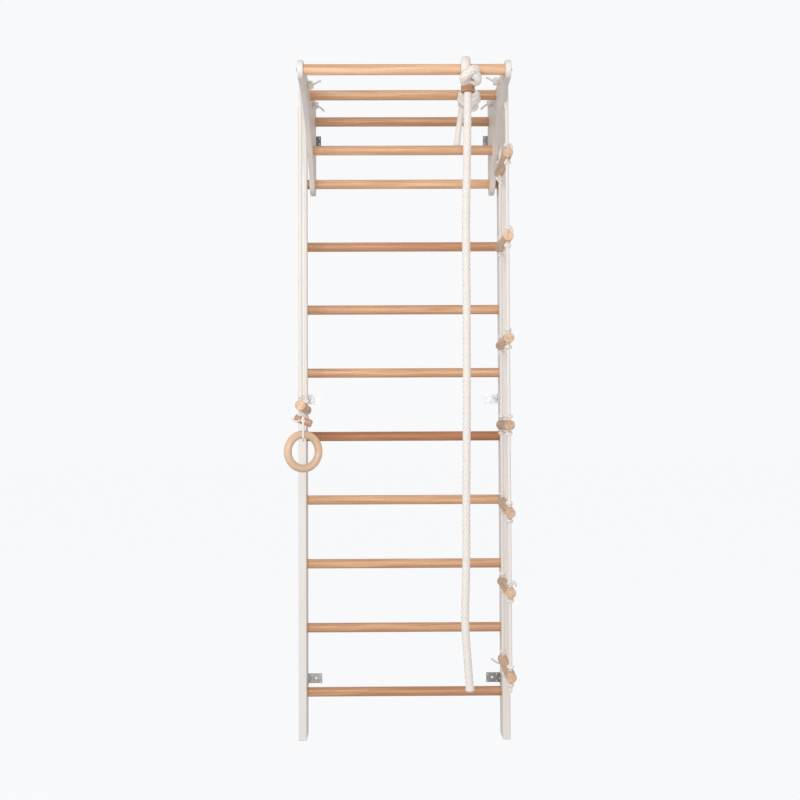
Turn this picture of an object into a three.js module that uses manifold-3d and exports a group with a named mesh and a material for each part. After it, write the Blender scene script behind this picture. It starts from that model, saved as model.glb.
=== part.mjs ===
// Wall bars with an overhead pull-up frame and three hanging accessories: a climbing rope,
// a rope ladder and a trapeze bar with one gymnastic ring.
// Millimetres, +Z up, +Y towards the wall. The origin is the middle of the wall plane at the floor.

import * as THREE from "three";
import { mergeVertices } from "three/addons/utils/BufferGeometryUtils.js";
import Module from "manifold-3d";

const wasm = await Module();
wasm.setup();

// ---------------------------------------------------------------- driving dimensions

const GAP = 0.3; // between pieces that touch
const WIDTH = 670; // over both posts
const HEIGHT = 2018; // of the posts
const POST_THICK = 25;
const POST_DEPTH = 95;
const POST_EDGE = 3; // rounding of the posts' long edges
const ROD_R = 15; // every rung and bar is turned from the same 30 mm stock
const RUNG_COUNT = 10;
const RUNG_FIRST_Z = 144;
const RUNG_PITCH = 204;
const SOCKET_DEPTH = 18;

const PANEL_THICK = 16;
const PANEL_INNER = 281; // half the clear width between the two panels
const PANEL_SOCKET = 6;
const PANEL_FOOT = 1740; // height of its lowest edge
const FRONT_BAR = { name: "front_bar", y: -627, z: 1988 };
const MIDDLE_BAR = { name: "middle_bar", y: -332, z: 1993 };
const REAR_BAR = { name: "rear_bar", y: -166, z: 1861 };
const CORD_HOLE_Y = { front: -445, rear: -211 };
const CORD_HOLE_Z = 1994;

const BRACKET_Z = { low: 178, middle: 1080, high: 1928 };
const BRACKET_TALL = 31;
const BRACKET_WIDE = 44;
const BRACKET_DEEP = 40;
const BRACKET_SHEET = 2;

const ROPE_R = 11;
const ROPE_X = 178;
const CORD_R = 5;
const CORD_BULGE_R = 9.5; // a stopper knot in a 10 mm cord
const CORD_OUT = PANEL_INNER + PANEL_THICK + CORD_R + 0.5; // where a cord hangs beside its panel
// Height of each hanging rod's middle, and how much higher its rear end is than that: they are tied by
// hand, so they are neither quite even nor quite level.
const LADDER_RUNGS = [[1788, -2], [1547, 1], [1246, -3], [996, 0], [751, 9], [512, -1], [272, 1]];
const TRAPEZE = [1050, -6];
const HUNG_ROD = 290; // length of a rope ladder rung and of the trapeze bar

const RING_R = 49.3; // middle of the ring's section
const RING_SECTION_R = 11.5;
const RING_Z = 922;
const RING_TURN = 0.515; // radians that the ring has turned on its cord
const RING_ASIDE = 7; // from the trapeze's cord to the ring's
const RING_CORD_R = 3.6;
const TOGGLE_R = 10;
const TOGGLE_LONG = 54;
const TOGGLE_Z = 1009;

// ---------------------------------------------------------------- materials

const finish = (color, roughness, metalness = 0) => ({ color, roughness, metalness });
const WHITE_LACQUER = finish(0xf1eee9, 0.45);
const BEECH = finish(0xd9a878, 0.5);
const DARK_BEECH = finish(0xc08a5c, 0.5);
const ZINC = finish(0xb9bcc0, 0.35, 0.9);
const COTTON_ROPE = finish(0xeee7dc, 0.95);
const LEATHER = finish(0x8a5a34, 0.6);

const object = new THREE.Group();

function add(name, shape, look) {
  const geometry = shape.isBufferGeometry ? shape : geometryOf(shape);
  const mesh = new THREE.Mesh(geometry, new THREE.MeshStandardMaterial(look));
  mesh.name = name;
  object.add(mesh);
  return mesh;
}

// ---------------------------------------------------------------- solids

function solid(geometry) {
  const bare = geometry.clone();
  bare.deleteAttribute("normal");
  bare.deleteAttribute("uv");
  const merged = mergeVertices(bare, 1e-4);
  return new wasm.Manifold(new wasm.Mesh({
    numProp: 3,
    vertProperties: new Float32Array(merged.attributes.position.array),
    triVerts: new Uint32Array(merged.index.array),
  }));
}

function geometryOf(manifold) {
  const mesh = manifold.getMesh();
  const geometry = new THREE.BufferGeometry();
  geometry.setAttribute("position", new THREE.BufferAttribute(new Float32Array(mesh.vertProperties), 3));
  geometry.setIndex(new THREE.BufferAttribute(new Uint32Array(mesh.triVerts), 1));
  geometry.computeVertexNormals();
  return geometry;
}

const cutAway = (base, tools) => tools.reduce((rest, tool) => rest.subtract(solid(tool)), solid(base));
const joined = (pieces) => pieces.map(solid).reduce((sum, piece) => sum.add(piece));

// A rod between two values of one axis; `across` gives its place on the other two, in X, Y, Z order.
function rod(axis, from, to, across, radius, sides = 16) {
  const geometry = new THREE.CylinderGeometry(radius, radius, to - from, sides);
  const middle = (from + to) / 2;
  if (axis === "x") geometry.rotateZ(-Math.PI / 2).translate(middle, across[0], across[1]);
  if (axis === "y") geometry.translate(across[0], middle, across[1]);
  if (axis === "z") geometry.rotateX(Math.PI / 2).translate(across[0], across[1], middle);
  return geometry;
}

function ball(x, y, z, rx, ry = rx, rz = rx) {
  return new THREE.SphereGeometry(1, 12, 8).scale(rx, ry, rz).translate(x, y, z);
}

function tube(points, radius, steps, sides = 8) {
  const path = new THREE.CatmullRomCurve3(points.map((p) => new THREE.Vector3(...p)));
  const section = new THREE.Shape();
  for (let i = 0; i < sides; i += 1) {
    const angle = (i / sides) * 2 * Math.PI;
    const place = [radius * Math.cos(angle), radius * Math.sin(angle)];
    if (i === 0) section.moveTo(...place);
    else section.lineTo(...place);
  }
  section.closePath();
  return new THREE.ExtrudeGeometry(section, { steps, extrudePath: path });
}

// A turned shape about a vertical line, from its [radius, height] outline.
function turned(outline, x, y, sides) {
  const points = outline.map(([radius, height]) => new THREE.Vector2(radius, height));
  return new THREE.LatheGeometry(points, sides).rotateX(Math.PI / 2).translate(x, y, 0);
}

// ---------------------------------------------------------------- wall ladder

const rungZ = (index) => RUNG_FIRST_Z + index * RUNG_PITCH;
const POST_INNER = WIDTH / 2 - POST_THICK;
const LADDER_Y = -POST_DEPTH / 2;

function roundedBox(low, high, edge) {
  const shape = new THREE.Shape();
  shape.moveTo(low[0] + edge, low[1]);
  shape.lineTo(high[0] - edge, low[1]);
  shape.absarc(high[0] - edge, low[1] + edge, edge, -Math.PI / 2, 0, false);
  shape.lineTo(high[0], high[1] - edge);
  shape.absarc(high[0] - edge, high[1] - edge, edge, 0, Math.PI / 2, false);
  shape.lineTo(low[0] + edge, high[1]);
  shape.absarc(low[0] + edge, high[1] - edge, edge, Math.PI / 2, Math.PI, false);
  shape.lineTo(low[0], low[1] + edge);
  shape.absarc(low[0] + edge, low[1] + edge, edge, Math.PI, 1.5 * Math.PI, false);
  return shape;
}

function post(side) {
  const outline = roundedBox([-POST_THICK / 2, -POST_DEPTH], [POST_THICK / 2, 0], POST_EDGE);
  const board = new THREE.ExtrudeGeometry(outline, { depth: HEIGHT, bevelEnabled: false, curveSegments: 2 });
  board.translate(side * (POST_INNER + POST_THICK / 2), 0, 0);
  const tools = [];
  const span = (from, to) => [Math.min(side * from, side * to), Math.max(side * from, side * to)];
  for (let i = 0; i < RUNG_COUNT; i += 1) {
    const [from, to] = span(POST_INNER - 1, POST_INNER + SOCKET_DEPTH);
    tools.push(rod("x", from, to, [LADDER_Y, rungZ(i)], ROD_R + GAP));
  }
  for (const z of Object.values(BRACKET_Z)) {
    const [from, to] = span(POST_INNER - 1, POST_INNER + 16);
    tools.push(rod("x", from, to, [-BRACKET_DEEP / 2 - 4, z], 2.3 + GAP, 8));
  }
  return cutAway(board, tools);
}

add("left_post", post(-1), WHITE_LACQUER);
add("right_post", post(1), WHITE_LACQUER);

for (let i = 0; i < RUNG_COUNT; i += 1) {
  const reach = POST_INNER + SOCKET_DEPTH - 0.5;
  add(`rung_${String(i + 1).padStart(2, "0")}`, rod("x", -reach, reach, [LADDER_Y, rungZ(i)], ROD_R), BEECH);
}

// ---------------------------------------------------------------- wall brackets

function bracket(side, z) {
  const outer = POST_INNER - GAP;
  const shape = new THREE.Shape();
  shape.moveTo(outer - BRACKET_WIDE, -BRACKET_SHEET);
  shape.lineTo(outer - BRACKET_SHEET, -BRACKET_SHEET);
  shape.lineTo(outer - BRACKET_SHEET, -BRACKET_DEEP);
  shape.lineTo(outer, -BRACKET_DEEP);
  shape.lineTo(outer, 0);
  shape.lineTo(outer - BRACKET_WIDE, 0);
  shape.closePath();
  const angle = new THREE.ExtrudeGeometry(shape, { depth: BRACKET_TALL, bevelEnabled: false });
  angle.translate(0, 0, z - BRACKET_TALL / 2);
  const tools = [rod("x", outer - 5, outer + 1, [-BRACKET_DEEP / 2 - 4, z], 2.3 + GAP, 8)];
  tools.push(rod("y", -5, 1, [outer - 25, z], 3.3, 12));
  for (const x of [outer - 11, outer - 39]) {
    for (const dz of [-10, 10]) tools.push(rod("y", -5, 1, [x, z + dz], 1.6, 8));
  }
  const right = geometryOf(cutAway(angle, tools));
  return side > 0 ? right : mirrored(right);
}

function mirrored(geometry) {
  const other = geometry.clone().scale(-1, 1, 1);
  const index = other.index.array;
  for (let i = 0; i < index.length; i += 3) [index[i], index[i + 1]] = [index[i + 1], index[i]];
  other.computeVertexNormals();
  return other;
}

// A pan-head screw along X, its head on the `side` x `direction` face at `face`.
function screw(face, direction, shank, headR, headTall, shankR, y, z) {
  const outline = [[0, -shank], [shankR, -shank], [shankR, 0], [headR, 0], [headR, headTall * 0.5],
    [headR * 0.6, headTall], [0, headTall]];
  const points = outline.map(([radius, height]) => new THREE.Vector2(radius, height));
  const geometry = new THREE.LatheGeometry(points, 10);
  geometry.rotateZ(direction > 0 ? -Math.PI / 2 : Math.PI / 2);
  return geometry.translate(face, y, z);
}

for (const [side, sideName] of [[-1, "left"], [1, "right"]]) {
  for (const [level, z] of Object.entries(BRACKET_Z)) {
    add(`${sideName}_bracket_${level}`, bracket(side, z), ZINC);
    const face = side * (POST_INNER - 2 * GAP - BRACKET_SHEET);
    const fixing = screw(face, -side, 17, 4.5, 2.6, 2.3, -BRACKET_DEEP / 2 - 4, z);
    add(`${sideName}_bracket_screw_${level}`, fixing, ZINC);
  }
}

// ---------------------------------------------------------------- pull-up frame

// Side view of a panel: [y, z]. A level arm carries the bars and an arched lower edge runs down
// to a rounded foot beside the second rung from the top.
function panelOutline() {
  const nose = 26;
  const shape = new THREE.Shape();
  shape.moveTo(FRONT_BAR.y, FRONT_BAR.z - nose);
  shape.bezierCurveTo(-425, FRONT_BAR.z - nose, -215, 1870, -110, 1762);
  shape.quadraticCurveTo(-90, PANEL_FOOT, -68, PANEL_FOOT);
  shape.lineTo(-38, PANEL_FOOT);
  shape.quadraticCurveTo(-9, PANEL_FOOT, -9, PANEL_FOOT + 30);
  shape.lineTo(-9, 2026);
  shape.quadraticCurveTo(-9, 2050, -36, 2050);
  shape.lineTo(-80, 2050);
  shape.bezierCurveTo(-150, 2050, -190, 2018, -290, 2018);
  shape.lineTo(FRONT_BAR.y, FRONT_BAR.z + nose);
  shape.absarc(FRONT_BAR.y, FRONT_BAR.z, nose, Math.PI / 2, 1.5 * Math.PI, false);
  return shape;
}

const BARS = [FRONT_BAR, MIDDLE_BAR, REAR_BAR];
const BAR_SCREW_R = 2.8;

function panel(side) {
  const board = new THREE.ExtrudeGeometry(panelOutline(), {
    depth: PANEL_THICK, bevelEnabled: false, curveSegments: 7,
  });
  // The outline's (x, y) becomes the model's (y, z), and its depth runs along +X.
  board.applyMatrix4(new THREE.Matrix4().makeBasis(
    new THREE.Vector3(0, 1, 0), new THREE.Vector3(0, 0, 1), new THREE.Vector3(1, 0, 0)));
  const inner = side * PANEL_INNER;
  const low = side > 0 ? inner : inner - PANEL_THICK;
  board.translate(low, 0, 0);
  const through = (y, z, radius, sides) => rod("x", low - 1, low + PANEL_THICK + 1, [y, z], radius, sides);
  const tools = [through(LADDER_Y, rungZ(9), ROD_R + GAP, 16), through(LADDER_Y, rungZ(8), ROD_R + GAP, 16)];
  for (const y of Object.values(CORD_HOLE_Y)) tools.push(through(y, CORD_HOLE_Z, CORD_R + GAP, 10));
  for (const bar of BARS) {
    const ends = [inner - side, inner + side * PANEL_SOCKET];
    tools.push(rod("x", Math.min(...ends), Math.max(...ends), [bar.y, bar.z], ROD_R + GAP));
    tools.push(through(bar.y, bar.z, BAR_SCREW_R + GAP, 10));
  }
  return cutAway(board, tools);
}

add("left_panel", panel(-1), WHITE_LACQUER);
add("right_panel", panel(1), WHITE_LACQUER);

for (const bar of BARS) {
  const reach = PANEL_INNER + PANEL_SOCKET - GAP;
  const pilots = [[-reach - 1, 26 - reach], [reach - 26, reach + 1]];
  const holes = pilots.map(([from, to]) => rod("x", from, to, [bar.y, bar.z], BAR_SCREW_R + GAP, 10));
  add(bar.name, cutAway(rod("x", -reach, reach, [bar.y, bar.z], ROD_R), holes), BEECH);
  for (const [side, sideName] of [[-1, "left"], [1, "right"]]) {
    const face = side * (PANEL_INNER + PANEL_THICK + GAP);
    const fixing = screw(face, side, 34, 6.5, 3.6, BAR_SCREW_R, bar.y, bar.z);
    add(`${bar.name}_screw_${sideName}`, fixing, ZINC);
  }
}

// ---------------------------------------------------------------- hanging cords

// The stub of cord in a panel's hole: a stopper knot inside and a tight bight outside.
function panelKnot(side, y) {
  const inner = PANEL_INNER - GAP;
  const outer = PANEL_INNER + PANEL_THICK + GAP;
  const outline = [[0, inner - 19], [7, inner - 16], [CORD_BULGE_R, inner - 9], [7, inner - 2], [CORD_R, inner],
    [CORD_R, outer], [6.5, outer + 1.5], [6.5, outer + 8], [0, outer + 11]];
  const points = outline.map(([radius, height]) => new THREE.Vector2(radius, height));
  const geometry = new THREE.LatheGeometry(points, 10).rotateZ(side > 0 ? -Math.PI / 2 : Math.PI / 2);
  return geometry.translate(0, y, CORD_HOLE_Z);
}

const KNOT_LONG = 15;
const rodMiddleY = (CORD_HOLE_Y.front + CORD_HOLE_Y.rear) / 2;

// Where a leaning rod's axis is at one of its cords, and how far from there its knots begin.
const rodAt = ([z, lean], y) => z + lean * (y - rodMiddleY) / (HUNG_ROD / 2);
const gripOf = ([, lean]) => ROD_R + GAP + Math.abs(lean) * 0.06;

// A hanging cord with a stopper knot above and below each rod that it carries. It ends in a short
// tail, or without one its last knot is a ball, which a cord tied on below can swing round.
function knottedCord(x, y, topZ, rods, tail) {
  const outline = [[0, topZ], [CORD_R, topZ]];
  const knotBelow = (start) => outline.push([CORD_R, start], [CORD_BULGE_R, start - 4],
    [CORD_BULGE_R, start - 11], [CORD_R, start - KNOT_LONG]);
  for (const hung of rods) {
    knotBelow(rodAt(hung, y) + gripOf(hung) + KNOT_LONG);
    if (tail || hung !== rods[rods.length - 1]) knotBelow(rodAt(hung, y) - gripOf(hung));
  }
  const last = rods[rods.length - 1];
  if (tail) {
    const end = rodAt(last, y) - gripOf(last) - KNOT_LONG - tail;
    outline.push([CORD_R, end], [0, end]);
  } else {
    const middle = ballKnotZ(last, y);
    outline.push([CORD_R, middle + KNOT_LONG / 2]);
    for (const angle of [0.9, 0.4, 0, -0.4, -0.8, -1.2]) {
      outline.push([CORD_BULGE_R * Math.cos(angle), middle + CORD_BULGE_R * Math.sin(angle)]);
    }
    outline.push([0, middle - CORD_BULGE_R]);
  }
  return turned(outline.reverse(), x, y, 8);
}

const ballKnotZ = (hung, y) => rodAt(hung, y) - gripOf(hung) - KNOT_LONG / 2;

function hungRod(x, [z, lean], name, look) {
  const body = rod("y", -HUNG_ROD / 2, HUNG_ROD / 2, [0, 0], ROD_R);
  body.rotateX(Math.atan(lean / (HUNG_ROD / 2))).translate(x, rodMiddleY, z);
  const holes = Object.values(CORD_HOLE_Y).map((y) => rod("z", z - 25, z + 25, [x, y], CORD_R + GAP, 8));
  add(name, cutAway(body, holes), look);
}

const CORD_TOP = CORD_HOLE_Z - 7 - GAP;
const LADDER_X = CORD_OUT;
const TRAPEZE_X = -CORD_OUT;

for (const [place, y] of Object.entries(CORD_HOLE_Y)) {
  add(`ladder_knot_${place}`, panelKnot(1, y), COTTON_ROPE);
  add(`ladder_cord_${place}`, knottedCord(LADDER_X, y, CORD_TOP, LADDER_RUNGS, 15), COTTON_ROPE);
  add(`trapeze_knot_${place}`, panelKnot(-1, y), COTTON_ROPE);
  add(`trapeze_cord_${place}`, knottedCord(TRAPEZE_X, y, CORD_TOP, [TRAPEZE], 0), COTTON_ROPE);
}
LADDER_RUNGS.forEach((hung, i) => hungRod(LADDER_X, hung, `ladder_rung_${i + 1}`, DARK_BEECH));
hungRod(TRAPEZE_X, TRAPEZE, "trapeze_bar", BEECH);

// ---------------------------------------------------------------- gymnastic ring

const ringY = CORD_HOLE_Y.front;
const ringX = TRAPEZE_X + RING_ASIDE;
const turnRing = (geometry) => geometry.rotateZ(RING_TURN).translate(ringX, ringY, 0);

// Built facing along Y at the middle of the axes, then turned about the cord it hangs from.
const ringShape = new THREE.TorusGeometry(RING_R, RING_SECTION_R, 10, 26).rotateX(Math.PI / 2);
add("ring", turnRing(ringShape.translate(0, 0, RING_Z)), BEECH);

// One strand through the toggle, opening into a loop that goes under the top of the ring.
const loopR = RING_SECTION_R + RING_CORD_R + 1;
const loopZ = RING_Z + RING_R;
const loopTop = [0, 0, TOGGLE_Z - TOGGLE_R - 1];
const loop = tube([loopTop, [0, -loopR, loopZ + 6], [0, -loopR * 0.72, loopZ - loopR * 0.72],
  [0, 0, loopZ - loopR], [0, loopR * 0.72, loopZ - loopR * 0.72], [0, loopR, loopZ + 6], loopTop],
RING_CORD_R, 16);
const strandTop = ballKnotZ(TRAPEZE, ringY) - CORD_BULGE_R - GAP;
const strand = rod("z", TOGGLE_Z - TOGGLE_R - 8, strandTop, [0, 0], RING_CORD_R, 8);
add("ring_cord", turnRing(geometryOf(joined([loop, strand]))), COTTON_ROPE);

const toggleHole = rod("z", -TOGGLE_R - 1, TOGGLE_R + 1, [0, 0], RING_CORD_R + GAP, 8);
const toggle = geometryOf(cutAway(rod("x", -TOGGLE_LONG / 2, TOGGLE_LONG / 2, [0, 0], TOGGLE_R, 14), [toggleHole]));
add("ring_toggle", toggle.translate(ringX, ringY, TOGGLE_Z), DARK_BEECH);

// ---------------------------------------------------------------- climbing rope

const HITCH_R = ROD_R + GAP + ROPE_R; // of a turn of rope round a bar
const turnOfRope = (x, bar) => new THREE.TorusGeometry(HITCH_R, ROPE_R, 8, 16)
  .rotateY(Math.PI / 2).translate(x, bar.y, bar.z);

const KNOT_TALL = 22;
const knotLow = FRONT_BAR.z - ROD_R - GAP - KNOT_TALL;
const COLLAR = { bore: ROPE_R + 1, radius: 19.5, tall: 24, low: knotLow - GAP - 24 };
add("climbing_rope_knot", joined([
  turnOfRope(ROPE_X - 6, FRONT_BAR), ball(ROPE_X + 9, FRONT_BAR.y, knotLow + KNOT_TALL / 2, 29, 20, KNOT_TALL / 2),
]), COTTON_ROPE);

// The rope has a slight lasting wave to one side, [x, z] from the knot to the cut end.
const ROPE_PATH = [[177, knotLow - GAP], [174, 1763], [170, 1567], [170, 1344], [169, 1067], [166, 791], [165, 626],
  [161, 462], [167, 352], [173, 270]];
const ropeTube = tube(ROPE_PATH.map(([x, z]) => [x, FRONT_BAR.y, z]), ROPE_R, 28, 10);
add("climbing_rope", ropeTube, COTTON_ROPE);

const collarOutline = [[COLLAR.bore, 0], [COLLAR.radius - 2, 0], [COLLAR.radius, 2],
  [COLLAR.radius, COLLAR.tall - 2], [COLLAR.radius - 2, COLLAR.tall], [COLLAR.bore, COLLAR.tall], [COLLAR.bore, 0]];
const collar = turned(collarOutline, ROPE_X - 1, FRONT_BAR.y, 20);
add("climbing_rope_collar", collar.translate(0, 0, COLLAR.low), LEATHER);

// The rope's spare length is hitched round the middle bar and ends in a short tail.
const hitchLow = MIDDLE_BAR.z - HITCH_R;
add("rope_hitch", joined([
  ...[-19, 0, 19].map((step) => turnOfRope(ROPE_X + 11 + step, MIDDLE_BAR)),
  ball(ROPE_X + 31, MIDDLE_BAR.y, hitchLow - 9, 18, 17, 16),
]), COTTON_ROPE);
add("rope_hitch_tail", tube([[ROPE_X, MIDDLE_BAR.y, hitchLow - ROPE_R - 2], [ROPE_X - 6, MIDDLE_BAR.y, 1920],
  [ROPE_X - 16, MIDDLE_BAR.y, 1842]], ROPE_R - 2, 3, 10), COTTON_ROPE);

export default object;
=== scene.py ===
"""The finish of wall bars: painted boards, turned beech rods, plated fittings and braided cotton ropes."""

import math

import bmesh
import bpy
import numpy as np
from mathutils import Matrix, Vector


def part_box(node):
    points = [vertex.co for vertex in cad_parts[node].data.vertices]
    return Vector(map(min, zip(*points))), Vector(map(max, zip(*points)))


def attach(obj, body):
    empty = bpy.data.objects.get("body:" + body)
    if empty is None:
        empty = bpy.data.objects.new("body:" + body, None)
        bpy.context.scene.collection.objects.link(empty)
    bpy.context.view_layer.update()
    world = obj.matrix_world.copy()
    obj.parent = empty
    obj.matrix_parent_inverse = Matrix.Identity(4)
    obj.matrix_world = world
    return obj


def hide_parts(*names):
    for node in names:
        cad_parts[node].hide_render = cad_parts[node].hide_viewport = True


bl_info = {
    "name": "Wall bars with climbing ropes",
    "version": (1, 0, 0),
    "blender": (4, 5, 0),
    "location": "3D View > Sidebar > Wall bars",
    "description": "Makes the boards, rods, fittings and ropes of a set of wall bars on its packed frame",
    "category": "Object",
}

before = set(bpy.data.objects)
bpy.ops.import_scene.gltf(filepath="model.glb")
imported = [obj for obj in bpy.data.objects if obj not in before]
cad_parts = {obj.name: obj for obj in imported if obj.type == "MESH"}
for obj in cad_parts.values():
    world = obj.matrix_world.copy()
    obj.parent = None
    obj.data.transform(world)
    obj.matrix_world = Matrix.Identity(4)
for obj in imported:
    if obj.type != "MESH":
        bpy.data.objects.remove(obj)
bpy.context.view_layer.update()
MM = 0.001
TAU = 2 * math.pi


def middle(node):
    low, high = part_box(node)
    return (low + high) / 2


def face_x(node, side, inset=0.0):
    """X of the face of a node on that side, moved inwards by inset."""
    low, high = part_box(node)
    return (high.x if side > 0 else low.x) - side * inset


# ---------------------------------------------------------------- sizes and names that several steps share

ROPE_R = 11 * MM
CORD_R = 5 * MM
PULLED_CORD_R = 4.3 * MM  # of a cord that is pulled tight in a knot beside a rod
RING_CORD_R = 3.6 * MM
BAR_R = 15 * MM
RING_R = 49.3 * MM  # to the middle of the ring's section
RING_SECTION_R = 11.5 * MM
FRONT_BAR, MIDDLE_BAR = middle("front_bar"), middle("middle_bar")  # where their middle lines run
LADDER_RUNGS = [f"ladder_rung_{i}" for i in range(1, 8)]
WALL_RUNGS = [f"rung_{i:02d}" for i in range(1, 11)]
BARS = ["front_bar", "middle_bar", "rear_bar"]
SIDES = {"left": -1, "right": 1}
ROD_LONG = 290 * MM  # of a rod on cords
CORD_SPACE = 10.3 * MM  # from the surface of a rod to the middle of a knot beside it
BRAID_ANGLE = math.radians(38)  # of a rope's strands to its length
THIN_ROPE_R = 8 * MM  # up to this radius a rope is braided from fewer strands


# ---------------------------------------------------------------- settings


class WallBarsSettings(bpy.types.PropertyGroup):
    """Sizes and colours of the finish"""

    board_edge: bpy.props.FloatProperty(
        name="Board edge", description="Rounding of the painted boards' edges",
        default=2.6 * MM, min=0.5 * MM, max=6 * MM, unit="LENGTH")
    rod_edge: bpy.props.FloatProperty(
        name="Rod edge", description="Rounding of the turned rods' ends",
        default=1.6 * MM, min=0.2 * MM, max=6 * MM, unit="LENGTH")
    braid_depth: bpy.props.FloatProperty(
        name="Braid depth", description="How far the strands of a rope stand proud, as a share of its radius",
        default=0.08, min=0.0, max=0.25, subtype="FACTOR")
    paint: bpy.props.FloatVectorProperty(
        name="Paint", description="Colour of the lacquered boards",
        default=(0.80, 0.785, 0.766), size=3, min=0, max=1, subtype="COLOR")
    light_wood: bpy.props.FloatVectorProperty(
        name="Pale beech", description="Colour of the palest fixed rods",
        default=(0.865, 0.585, 0.365), size=3, min=0, max=1, subtype="COLOR")
    dark_wood: bpy.props.FloatVectorProperty(
        name="Red beech", description="Colour of the darkest fixed rods",
        default=(0.44, 0.165, 0.062), size=3, min=0, max=1, subtype="COLOR")
    hung_wood_dark: bpy.props.FloatVectorProperty(
        name="Hung beech, dark", description="Darker colour of the ring and of the rods on cords",
        default=(0.52, 0.33, 0.215), size=3, min=0, max=1, subtype="COLOR")
    hung_wood_light: bpy.props.FloatVectorProperty(
        name="Hung beech, pale", description="Paler colour of the ring and of the rods on cords",
        default=(0.84, 0.64, 0.465), size=3, min=0, max=1, subtype="COLOR")
    rope: bpy.props.FloatVectorProperty(
        name="Cotton", description="Colour of the ropes and cords",
        default=(0.86, 0.83, 0.805), size=3, min=0, max=1, subtype="COLOR")
    plate: bpy.props.FloatVectorProperty(
        name="Zinc", description="Colour of the brackets and screws",
        default=(0.66, 0.67, 0.69), size=3, min=0, max=1, subtype="COLOR")
    leather: bpy.props.FloatVectorProperty(
        name="Leather", description="Colour of the collar on the climbing rope",
        default=(0.36, 0.172, 0.094), size=3, min=0, max=1, subtype="COLOR")
    backdrop: bpy.props.FloatVectorProperty(
        name="Backdrop", description="Colour of the studio behind the object",
        default=(0.939, 0.947, 0.963), size=3, min=0, max=1, subtype="COLOR")


def settings():
    return bpy.context.scene.wall_bars


# ---------------------------------------------------------------- materials


class Nodes:
    """A node tree to which nodes are added one by one."""

    def node(self, kind, links=None, **values):
        made = self.tree.nodes.new(kind)
        for key, value in values.items():
            setattr(made, key, value)
        for socket, source in (links or {}).items():
            if hasattr(source, "links"):
                self.tree.links.new(source, made.inputs[socket])
            else:
                made.inputs[socket].default_value = source
        return made

    def math(self, operation, a, b=0.0):
        return self.node("ShaderNodeMath", {0: a, 1: b}, operation=operation).outputs[0]


class Shader(Nodes):
    """A material made of nodes."""

    def __init__(self, name, **values):
        self.material = bpy.data.materials.new(name)
        self.material.use_nodes = True
        self.tree = self.material.node_tree
        self.surface = next(n for n in self.tree.nodes if n.type == "BSDF_PRINCIPLED")
        for socket, value in values.items():
            self.surface.inputs[socket.replace("_", " ")].default_value = value

    def place(self, scale, move=(0, 0, 0), source="Object"):
        coordinates = self.node("ShaderNodeTexCoord").outputs[source]
        links = {"Vector": coordinates, "Scale": scale, "Location": move}
        return self.node("ShaderNodeMapping", links).outputs["Vector"]

    def noise(self, vector, detail=4.0, roughness=0.55, distortion=0.0):
        links = {"Vector": vector, "Scale": 1.0, "Detail": detail, "Roughness": roughness,
                 "Distortion": distortion}
        return self.node("ShaderNodeTexNoise", links).outputs["Fac"]

    def ramp(self, factor, stops):
        made = self.node("ShaderNodeValToRGB", {"Fac": factor})
        steps = made.color_ramp.elements
        while len(steps) < len(stops):
            steps.new(0.5)
        for step, (place, grey) in zip(steps, stops):
            step.position = place
            step.color = (grey, grey, grey, 1)
        return made.outputs["Color"]

    def mix(self, factor, a, b, blend="MIX"):
        a, b = (colour if hasattr(colour, "links") else (*colour, 1) for colour in (a, b))
        links = {0: factor, 6: a, 7: b}
        return self.node("ShaderNodeMix", links, data_type="RGBA", blend_type=blend).outputs[2]

    def feed(self, socket, source):
        self.tree.links.new(source, self.surface.inputs[socket])

    def bump(self, height, strength, distance):
        links = {"Height": height, "Strength": strength, "Distance": distance}
        self.feed("Normal", self.node("ShaderNodeBump", links).outputs["Normal"])
        return self.material


def spread_range(shader, factor, low, high):
    """A grey that runs from low to high as factor runs over the middle of a noise."""
    return shader.ramp(factor, [(0.3, low), (0.7, high)])


def tinted(colour, factors):
    return tuple(min(1, c * k) for c, k in zip(colour, factors))


def paint_material():
    s = Shader("white_lacquer", Coat_Weight=0.12, Coat_Roughness=0.3, IOR=1.48)
    colour = settings().paint
    soft = s.noise(s.place((3, 3, 3)), detail=3)
    warm = tinted(colour, (0.985, 0.965, 0.945))
    tone = s.mix(s.ramp(soft, [(0.35, 0.0), (0.65, 1.0)]), tuple(colour), warm)
    s.feed("Base Color", tone)
    roller = s.noise(s.place((260, 260, 260)), detail=5, roughness=0.65)
    s.feed("Roughness", spread_range(s, s.noise(s.place((40, 40, 9)), detail=4), 0.36, 0.5))
    return s.bump(roller, 0.22, 0.12 * MM)


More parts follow.
